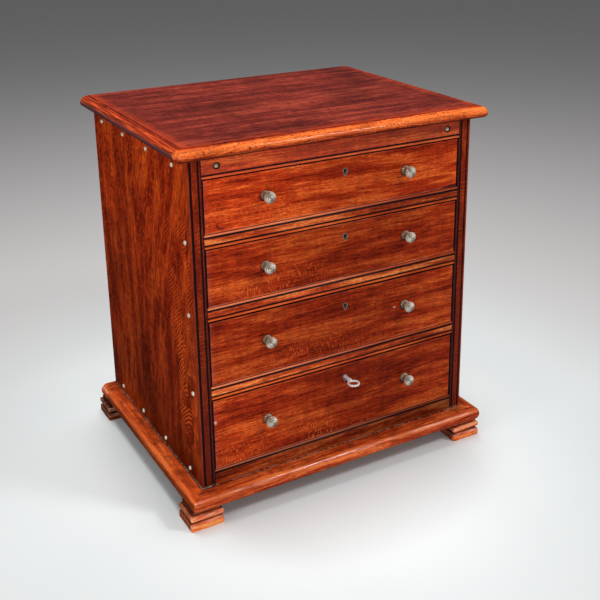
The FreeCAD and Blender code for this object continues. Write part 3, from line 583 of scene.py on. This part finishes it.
FRONT_TONES_AND_SHADE = (0.93, 0.69, 0.68, 0.62)
LEFT_SHEEN = (0.6, 0.5, 0.3, 0.65)


def drawer_front_finish(number):
    """A drawer front: level grain, ribbon flecks low at the left, knocks, edge wear with painted
    highlights, painted sheen, and painted shade in its gaps and round its knobs.
    """
    wood = mahogany("drawer_%d_front" % number, "X", 0.13 * number)
    from_left = wood.x - wood.low.x
    from_below = wood.z - wood.low.z
    # Painted sheen: each front lighter at its left end and a little at its right.
    sheen_leftward = from_left.rise(190 * MM, 5 * MM)
    sheen_rightward = (wood.high.x - wood.x).rise(110 * MM, 10 * MM)
    glow = sheen_leftward * LEFT_SHEEN[number - 1] + sheen_rightward * 0.2 + 0.86
    colour = wood.tint(wood.figure(FRONT_WOOD, 0.42, 0.22), glow * FRONT_TONES_AND_SHADE[number - 1])
    ribbon = wood.flecks(1.5 * MM, 5.5 * MM, 0.54)
    here = from_below.rise(42 * MM, 8 * MM) * from_left.rise(260 * MM, 60 * MM)
    ribbon = ribbon * here * (0.1 + wood.patches * 0.9) * 0.7
    colour = wood.lay(colour, FRONT_WOOD[2], ribbon)
    # Painted highlight along the left edge.
    colour = wood.lay(colour, PALE_ARRIS_HIGHLIGHT, from_left.rise(6 * MM, 0) * 0.12 * wood.streaks)
    # Painted highlight along the lower edge, strongest at the left.
    lower_edge = from_below.rise(1.6 * MM, 0.6 * MM)
    colour = wood.lay(colour, LOWER_EDGE_HIGHLIGHT, lower_edge * (sheen_leftward * 0.2 + wood.hairs * 0.35))
    # Edge wear with a painted highlight along it.
    colour = wood.lay(colour, WORN_ARRIS_HIGHLIGHT, wood.arris(0.7 * MM) * (0.1 + wood.streaks * 0.3))
    # Painted shade on the faces set back in the gaps round the front.
    behind = (wood.y - wood.low.y).rise(0.5 * MM, 2 * MM)
    colour = wood.tint(colour, 1 - behind * 0.7)
    for mark, mark_colour in knocks(wood, number):
        colour = wood.lay(colour, mark_colour, mark)
    # Painted shadow round the knobs.
    return wood.polished(wood.lay(colour, DIRT_AND_SHADE, knob_shadows(wood, number)))


def knob_shadows(wood, number):
    """Painted shadow round each knob, darkest below it."""
    place = KnobPlace(wood, number)
    radius = distance(place.beside, place.above + place.reach * 0.2)
    return radius.rise(place.reach * 1.15, place.reach * 0.75) * 0.85


def spot(wood, x, z, wide, high):
    """1 at a place on a front and 0 past an oval round it."""
    return distance((wood.x - x) / wide, (wood.z - z) / high).rise(1.0, 0.6)


def knocks(wood, number):
    """The bruises and scratches that show on the fronts, each with its colour."""
    if number == 1:
        ring = spot(wood, -136 * MM, 328 * MM, 7 * MM, 5.5 * MM)
        core = spot(wood, -134.5 * MM, 329 * MM, 6 * MM, 4.6 * MM)
        low_down = (wood.z - wood.low.z).rise(4.5 * MM, 1.5 * MM)
        wedge = wood.x.rise(112 * MM, 150 * MM) * low_down
        return [(ring * (1 - core) * 0.9, BRUISE), (wedge * 0.85, DIRT_AND_SHADE)]
    if number == 3:
        return [(spot(wood, 72 * MM, 192 * MM, 2.4 * MM, 1.2 * MM) * 0.6, SCRATCH)]
    if number == 4:
        chip = spot(wood, wood.low.x + 1.5 * MM, 112 * MM, 1.8 * MM, 2.6 * MM)
        return [(chip * 0.8, SCRATCH)]
    return []


def lining_finish(name, node_name, grain, sawn):
    """Unpolished inner wood: pale brown, dry, with open grain."""
    wood = Wood(name, grain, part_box(node_name), sawn,
                wave=12 * MM, wave_length=160 * MM, fibre=60 * MM)
    colour = wood.figure(LINING_WOOD, 0.5, 0.3)
    colour = wood.lay(colour, LINING_STAIN, wood.speckle(60 * MM).rise(0.5, 0.8) * 0.35)
    return wood.surface(wood.principled({
        "Base Color": colour, "Roughness": 0.72 + wood.hairs * 0.12, "Specular IOR Level": 0.25,
        "Normal": wood.bump(wood.hairs * 0.6 - wood.pores, 0.2 * MM)}))


# Metal

RING_PITCH = 2.3 * MM
TOOL_MARK = 0.16 * MM
DIRT_GRAIN = 1.8 * MM


class KnobPlace:
    """Where a place on a finish lies about the nearer of a drawer's two knobs."""

    def __init__(self, finish, number):
        low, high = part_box("drawer_%d_knobs" % number)
        self.face = low.y
        self.reach = (high.z - low.z) / 2
        self.across = finish.x - (low.x + high.x) / 2
        self.beside = abs(self.across) - ((high.x - low.x) / 2 - self.reach)
        self.above = finish.z - (low.z + high.z) / 2


def knob_finish(number):
    """Turned white metal: rings from the lathe, a painted slanting glint, painted shade on its
    lower part, under its neck and in its hollows, and a painted highlight on top of its neck.
    """
    metal = Finish("turned_knobs_%d" % number)
    place = KnobPlace(metal, number)
    above = place.above
    radius = distance(place.beside, above)
    rings = (radius * (FULL_TURN / RING_PITCH)).sine()
    fine = metal.noise(metal.vector(radius / TOOL_MARK, metal.y / TOOL_MARK, 0.0))
    tarnish = metal.speckle(2.6 * MM).rise(0.45, 0.7)
    shade = tarnish * 0.3 + fine * 0.3 + rings * 0.22 + 0.1
    bright, dull = KNOB_METAL
    colour = metal.ramp(shade, (0.2, bright), (0.65, dull))
    # Painted glint across the face, and painted shade on its lower part.
    glint = place.beside * place.across.sign() * above / (radius * radius + 1e-7)
    shaded_underside = above.rise(0.5 * MM, -6.0 * MM)
    colour = metal.tint(colour, (1 - shaded_underside * 0.45) * (0.8 + glint * 0.8))
    out = metal.y - place.face
    # Painted highlight on the top of the neck, painted shade below it.
    lit = out.within(3 * MM, 7 * MM, 1 * MM) * above.rise(0.0, 2.5 * MM)
    colour = metal.lay(colour, KNOB_NECK_LIT, lit * 0.7)
    neck = out.rise(1.8 * MM, 3 * MM) * above.rise(2 * MM, -1 * MM)
    colour = metal.lay(colour, KNOB_NECK_SHADE, neck * 0.6)
    colour = metal.lay(colour, KNOB_BACK, out.rise(5 * MM, 7.5 * MM) * 0.5)
    # Painted shade in the hollow behind the face, darkest below.
    hollow = out.rise(1.6 * MM, 3.2 * MM) * radius.rise(5.2 * MM, 3.4 * MM)
    colour = metal.lay(colour, KNOB_HOLLOW_SHADE, hollow * above.rise(2 * MM, -3 * MM) * 0.85)
    return metal.surface(metal.principled({
        "Base Color": colour, "Metallic": 0.45, "Roughness": 0.2 + tarnish * 0.14,
        "Normal": metal.bump(rings * 0.3 + fine * 0.4, 0.08 * MM)}))


def old_metal(name, tones, rough, share, dark_foot=None):
    """Aged metal, partly under dirt and lacquer, and darkened where dark_foot says."""
    metal = Finish(name)
    bright, dull = tones
    dirt = metal.speckle(DIRT_GRAIN).rise(0.4, 0.68)
    stretched = metal.vector(metal.x / (0.2 * MM), metal.y / (0.9 * MM), metal.z / (0.2 * MM))
    brushed = metal.noise(stretched)
    colour = metal.lay(metal.ramp(brushed, (0.3, bright), (0.7, dull)), dull, dirt * 0.8)
    if dark_foot:
        colour = metal.lay(colour, PIN_FOOT_SHADE, dark_foot(metal) * 0.8)
    return metal.surface(metal.principled({
        "Base Color": colour, "Metallic": share - dirt * 0.25, "Roughness": rough + dirt * 0.22,
        "Normal": metal.bump(brushed + dirt, 0.03 * MM)}))


def near_side(metal):
    """1 on a pin head close to the side board, where shade is painted round its foot."""
    return (abs(metal.x) - side_high.x).rise(1.0 * MM, 0.3 * MM)


# The round-headed pins: one head on each CAD pin, as wide and tall as the photograph shows

HEAD_SPREAD = 1.55
HEAD_RISE = 1.9
HEAD_UNDERSIDE = -0.12 * MM
HEAD_SLANT = math.radians(5)
SLANT_SEED = 4
WELD = 0.01 * MM
PIN_INPUTS = (("Places", "NodeSocketGeometry"), ("Head radius", "NodeSocketFloat"),
              ("Head height", "NodeSocketFloat"), ("Slant", "NodeSocketFloat"),
              ("Seed", "NodeSocketInt"), ("Finish", "NodeSocketMaterial"))


def pin_places(node_name):
    """The place and size of each pin in a CAD node of many, as pin_axis gives them."""
    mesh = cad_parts[node_name].data
    parent = list(range(len(mesh.vertices)))
    welded = {}

    def root_of(index):
        while parent[index] != index:
            parent[index] = parent[parent[index]]
            index = parent[index]
        return index

    for vertex in mesh.vertices:
        key = tuple(round(value / WELD) for value in vertex.co)
        parent[root_of(vertex.index)] = root_of(welded.setdefault(key, vertex.index))
    for edge in mesh.edges:
        parent[root_of(edge.vertices[0])] = root_of(edge.vertices[1])
    pins = {}
    for vertex in mesh.vertices:
        pins.setdefault(root_of(vertex.index), []).append(vertex.co)
    return [pin_axis(points) for points in pins.values()]


def pin_axis(points):
    """(centre of the head's seat, outward direction, head radius, head height) of one pin."""
    low = Vector(map(min, zip(*points)))
    high = Vector(map(max, zip(*points)))
    outward = 1.0 if low.x > 0 else -1.0
    seat = side_high.x if outward > 0 else side_low.x
    tip = high.x if outward > 0 else low.x
    centre = Vector((seat, (low.y + high.y) / 2, (low.z + high.z) / 2))
    return centre, Vector((outward, 0, 0)), (high.z - low.z) / 2, abs(tip - seat)


def pin_tree():
    """Geometry Nodes: a flat-bottomed dome on every point, struck at its own slight slant."""
    nodes = Nodes(bpy.data.node_groups.new("round_headed_pins", "GeometryNodeTree"))
    for label, kind in PIN_INPUTS:
        nodes.tree.interface.new_socket(label, in_out="INPUT", socket_type=kind)
    nodes.tree.interface.new_socket("Geometry", in_out="OUTPUT",
                                    socket_type="NodeSocketGeometry")
    given = nodes.fields(nodes.node("NodeGroupInput", {}, {}))
    radius, slant = given["Head radius"], given["Slant"]
    ball = nodes.node("GeometryNodeMeshUVSphere", {},
                      {"Segments": 28, "Rings": 16, "Radius": 1.0}, "Mesh")
    shape = nodes.vector(radius, radius, given["Head height"])
    dome = nodes.node("GeometryNodeTransform", {}, {"Geometry": ball, "Scale": shape})
    x, y, z = nodes.split(nodes.node("GeometryNodeInputPosition", {}, {}))
    kept = nodes.vector(x, y, z.most(HEAD_UNDERSIDE))
    head = nodes.node("GeometryNodeSetPosition", {}, {"Geometry": dome, "Position": kept})
    smooth = nodes.node("GeometryNodeSetShadeSmooth", {}, {"Geometry": head})
    vectors = {"data_type": "FLOAT_VECTOR"}
    outward = nodes.node("GeometryNodeInputNamedAttribute", vectors, {"Name": "outward"})
    aimed = nodes.node("FunctionNodeAlignRotationToVector", {"axis": "Z"}, {"Vector": outward})
    sway = nodes.node("FunctionNodeRandomValue", vectors,
                      {0: slant * -1.0, 1: slant, "Seed": given["Seed"]})
    turned = nodes.node("FunctionNodeRotateRotation", {"rotation_space": "LOCAL"},
                        {"Rotation": aimed, "Rotate By": sway})
    copies = nodes.node("GeometryNodeInstanceOnPoints", {},
                        {"Points": given["Places"], "Instance": smooth, "Rotation": turned})
    real = nodes.node("GeometryNodeRealizeInstances", {}, {"Geometry": copies})
    dressed = nodes.node("GeometryNodeSetMaterial", {},
                         {"Geometry": real, "Material": given["Finish"]})
    nodes.node("NodeGroupOutput", {}, {0: dressed})
    return nodes.tree


def set_inputs(modifier, values):
    """Sets a Geometry Nodes modifier's inputs by the identifiers behind their names."""
    for item in modifier.node_group.interface.items_tree:
        if item.item_type == "SOCKET" and item.in_out == "INPUT" and item.name in values:
            modifier[item.identifier] = values[item.name]


def link(thing):
    """Puts a new object into the scene."""
    bpy.context.scene.collection.objects.link(thing)
    return thing


def side_pin_heads(material):
    """Replaces the CAD pins by wider and taller heads, from the pins' own places."""
    centres, directions, radii, heights = zip(*pin_places("side_pins"))
    points = bpy.data.meshes.new("pin_places")
    points.from_pydata(centres, [], [])
    outward = points.attributes.new("outward", "FLOAT_VECTOR", "POINT")
    for item, direction in zip(outward.data, directions):
        item.vector = direction
    source = link(bpy.data.objects.new("pin_places", points))
    modifier = source.modifiers.new("pins", "NODES")
    modifier.node_group = pin_tree()
    radius = sum(radii) / len(radii) * HEAD_SPREAD
    height = sum(heights) / len(heights) * HEAD_RISE
    set_inputs(modifier, {"Head radius": radius, "Head height": height, "Slant": HEAD_SLANT,
                          "Seed": SLANT_SEED, "Finish": material})
    seen = source.evaluated_get(bpy.context.evaluated_depsgraph_get())
    mesh = bpy.data.meshes.new_from_object(seen)
    mesh.name = "side_pin_heads"
    heads = link(bpy.data.objects.new("side_pin_heads", mesh))
    bpy.data.objects.remove(source)
    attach(heads, "carcase")
    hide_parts("side_pins")


# Dressing

RAILS = ("frieze_rail", "drawer_rail_1", "drawer_rail_2", "drawer_rail_3", "bottom_rail")
BASES = (("base_front", "X"), ("base_rear", "X"), ("base_left", "Y"), ("base_right", "Y"))
FEET = ("foot_front_left", "foot_front_right", "foot_rear_left", "foot_rear_right")
INNER = (("back_board", "X"), ("bottom_board", "X"), ("drawer_runners", "Y"),
         ("drawer_stops", "X"), ("top_cleats", "X"))
BOX = (("side_left", "Y"), ("side_right", "Y"), ("back", "X"), ("bottom", "X"))
LOCK = ("escutcheon", "lock_case", "lock_bolt")


def dress_carcase():
    dress("top_board", top_finish())
    dress("side_panel_left", side_finish("side_panel_left", side_low.x, 0.42))
    dress("side_panel_right", side_finish("side_panel_right", side_high.x, 0.77))
    for index, node_name in enumerate(RAILS):
        dress(node_name, rail_finish(node_name, 0.21 + 0.17 * index))
    for index, (node_name, grain) in enumerate(BASES):
        dress(node_name, base_finish(node_name, grain, 0.35 + 0.23 * index))
    for index, node_name in enumerate(FEET):
        dress(node_name, foot_finish(node_name, 0.11 + 0.19 * index))
    for index, (node_name, grain) in enumerate(INNER):
        name = "inner_wood_" + node_name
        dress(node_name, lining_finish(name, node_name, grain, 0.3 * index))


def dress_drawers(steel):
    for number in DRAWERS:
        drawer = "drawer_%d_" % number
        dress(drawer + "front", drawer_front_finish(number))
        for index, (part, grain) in enumerate(BOX):
            name = "lining_" + drawer + part
            dress(drawer + part, lining_finish(name, drawer + part, grain, 0.2 * number + index))
        dress(drawer + "knobs", knob_finish(number))
        for part in LOCK:
            dress(drawer + part, steel)


def dress_metal():
    steel = old_metal("aged_steel", STEEL, 0.36, 0.8)
    dress("key", old_metal("rubbed_steel_key", KEY_STEEL, 0.14, 0.4))
    dress("carcase_screws", old_metal("brass_screws", SCREW_BRASS, 0.2, 0.4))
    brass = old_metal("aged_brass", PIN_BRASS, 0.12, 0.35, near_side)
    dress("side_pins", brass)
    side_pin_heads(brass)
    return steel


# Studio

FLOOR_REACH = 9.0
FLOOR_MIDDLE_FORWARD = 0.04
FLOOR_PALE = (0.965, 0.945, 0.95)
FLOOR_COOL = (0.89, 0.945, 0.955)
FLOOR_EVEN = 0.235
FLOOR_SOFT = 0.07
FLOOR_FADE = 13.0
FLOOR_FAR_SHARE = 0.44
FLOOR_REFLECTED = (0.42, 0.42, 0.42)
FLOOR_SHADED = (0.03, 0.03, 0.03)
BACKGROUND = (0.128, 0.129, 0.131)
AMBIENT = (1.0, 1.0, 1.0)
AMBIENT_STRENGTH = 0.25
AMBIENT_REFLECTED = 0.1
LAMP_COLOUR = (1.0, 0.99, 0.98)

# Name, place, aim, size, power, and which rays don't see the lamp
LAMPS = (("key_lamp", (0.75, -1.05, 1.45), (0.0, -0.05, 0.15), 0.3, 9.5, None),
         ("top_lamp", (-0.02, 0.22, 1.6), (0.0, 0.1, 0.0), 0.9, 24.5, "glossy"),
         ("front_lamp", (-0.3, -1.3, 0.42), (0.0, 0.0, 0.25), 0.5, 3.4, "glossy"),
         ("left_lamp", (-1.25, -0.35, 0.5), (0.0, 0.0, 0.25), 0.5, 3.6, "glossy"),
         ("spark_lamp", (-1.0, -0.9, 1.1), (0.0, 0.0, 0.2), 0.2, 14.0, "diffuse"))


def studio_floor():
    """A pale floor, its colour painted brightest round the chest and darker far away as a pool of
    light, and cooler near the chest against the wood's reddish bounce light.
    """
    mesh = bpy.data.meshes.new("floor")
    corners = [(-FLOOR_REACH, -FLOOR_REACH), (FLOOR_REACH, -FLOOR_REACH),
               (FLOOR_REACH, FLOOR_REACH), (-FLOOR_REACH, FLOOR_REACH)]
    mesh.from_pydata([(x, y, 0.0) for x, y in corners], [], [(0, 1, 2, 3)])
    floor = link(bpy.data.objects.new("floor", mesh))
    paint = Finish("pale_floor")
    away = distance(paint.x, paint.y + FLOOR_MIDDLE_FORWARD)
    beyond = (away - FLOOR_EVEN).most(0.0)
    faded = 1 + beyond * beyond / (beyond + FLOOR_SOFT) * FLOOR_FADE
    fade = FLOOR_FAR_SHARE + (1 - FLOOR_FAR_SHARE) / faded
    colour = paint.tint(paint.lay(FLOOR_PALE, FLOOR_COOL, away.rise(0.7, 0.3)), fade)
    lit = paint.principled({"Base Color": colour, "Roughness": 0.8, "Specular IOR Level": 0.1})
    mesh.materials.append(paint.surface(dimmed_in_reflections(paint, lit)))


def dimmed_in_reflections(paint, lit):
    """Shows the floor darker in the polish than it is, and darkest near its back."""
    near_front = paint.y.rise(-0.05, -0.35)
    seen = paint.ramp(near_front, (0.0, FLOOR_SHADED), (1.0, FLOOR_REFLECTED))
    card = paint.node("ShaderNodeEmission", {}, {"Color": seen, "Strength": 1.0})
    return paint.either(paint.ray("Is Glossy Ray"), lit, card)


def studio_world():
    """Grey to the camera, like the far floor, and else a weak light, weakest in reflections."""
    world = bpy.data.worlds.new("studio")
    world.use_nodes = True
    sky = Nodes(world.node_tree)

    def glow(colour, strength):
        return sky.node("ShaderNodeBackground", {},
                        {"Color": (*colour, 1.0), "Strength": strength})

    lighting = sky.either(sky.ray("Is Glossy Ray"), glow(AMBIENT, AMBIENT_STRENGTH),
                          glow(AMBIENT, AMBIENT_REFLECTED))
    seen = sky.either(sky.ray("Is Camera Ray"), lighting, glow(BACKGROUND, 1.0))
    sky.node("ShaderNodeOutputWorld", {}, {0: seen})
    bpy.context.scene.world = world


def soft_lamp(name, place, aim, size, power, unseen_by):
    """A square area lamp at place, turned to aim."""
    data = bpy.data.lights.new(name, "AREA")
    data.shape = "SQUARE"
    data.size = size
    data.energy = power
    data.color = LAMP_COLOUR
    lamp = link(bpy.data.objects.new(name, data))
    lamp.location = place
    lamp.rotation_euler = (Vector(aim) - Vector(place)).to_track_quat("-Z", "Y").to_euler()
    if unseen_by:
        setattr(lamp, "visible_" + unseen_by, False)


# Camera: fitted to the chest's edges in the photograph

EYE = (-509.62 * MM, -972.67 * MM, 653.08 * MM)
TURN_RIGHT = 0.5336
TILT_DOWN = 0.3208
ROLL = -0.0049
SENSOR = 36.0
IMAGE_SIDE = 600
FOCAL_PIXELS = 988.2
CENTRE_ABOVE_MIDDLE = 95
CENTRE_RIGHT_OF_MIDDLE = 30
NEAREST_SEEN = 0.05
FARTHEST_SEEN = 40.0


def camera_axes():
    """The camera's right, up and forward directions in the chest's frame."""
    forward = Vector((math.sin(TURN_RIGHT) * math.cos(TILT_DOWN),
                      math.cos(TURN_RIGHT) * math.cos(TILT_DOWN), -math.sin(TILT_DOWN)))
    level = Vector((math.cos(TURN_RIGHT), -math.sin(TURN_RIGHT), 0.0))
    upright = level.cross(forward)
    right = math.cos(ROLL) * level + math.sin(ROLL) * upright
    return right, right.cross(forward), forward


def place_camera():
    data = bpy.data.cameras.new("camera")
    data.sensor_width = SENSOR
    data.lens = FOCAL_PIXELS / IMAGE_SIDE * SENSOR
    data.shift_x = -CENTRE_RIGHT_OF_MIDDLE / IMAGE_SIDE
    data.shift_y = -CENTRE_ABOVE_MIDDLE / IMAGE_SIDE
    data.clip_start = NEAREST_SEEN
    data.clip_end = FARTHEST_SEEN
    right, up, forward = camera_axes()
    camera = link(bpy.data.objects.new("camera", data))
    turn = Matrix((right, up, -forward)).transposed().to_4x4()
    camera.matrix_world = Matrix.Translation(EYE) @ turn
    bpy.context.scene.camera = camera
    bpy.context.scene.view_settings.view_transform = "Standard"


dress_carcase()
dress_drawers(dress_metal())
studio_floor()
studio_world()
for lamp_values in LAMPS:
    soft_lamp(*lamp_values)
place_camera()
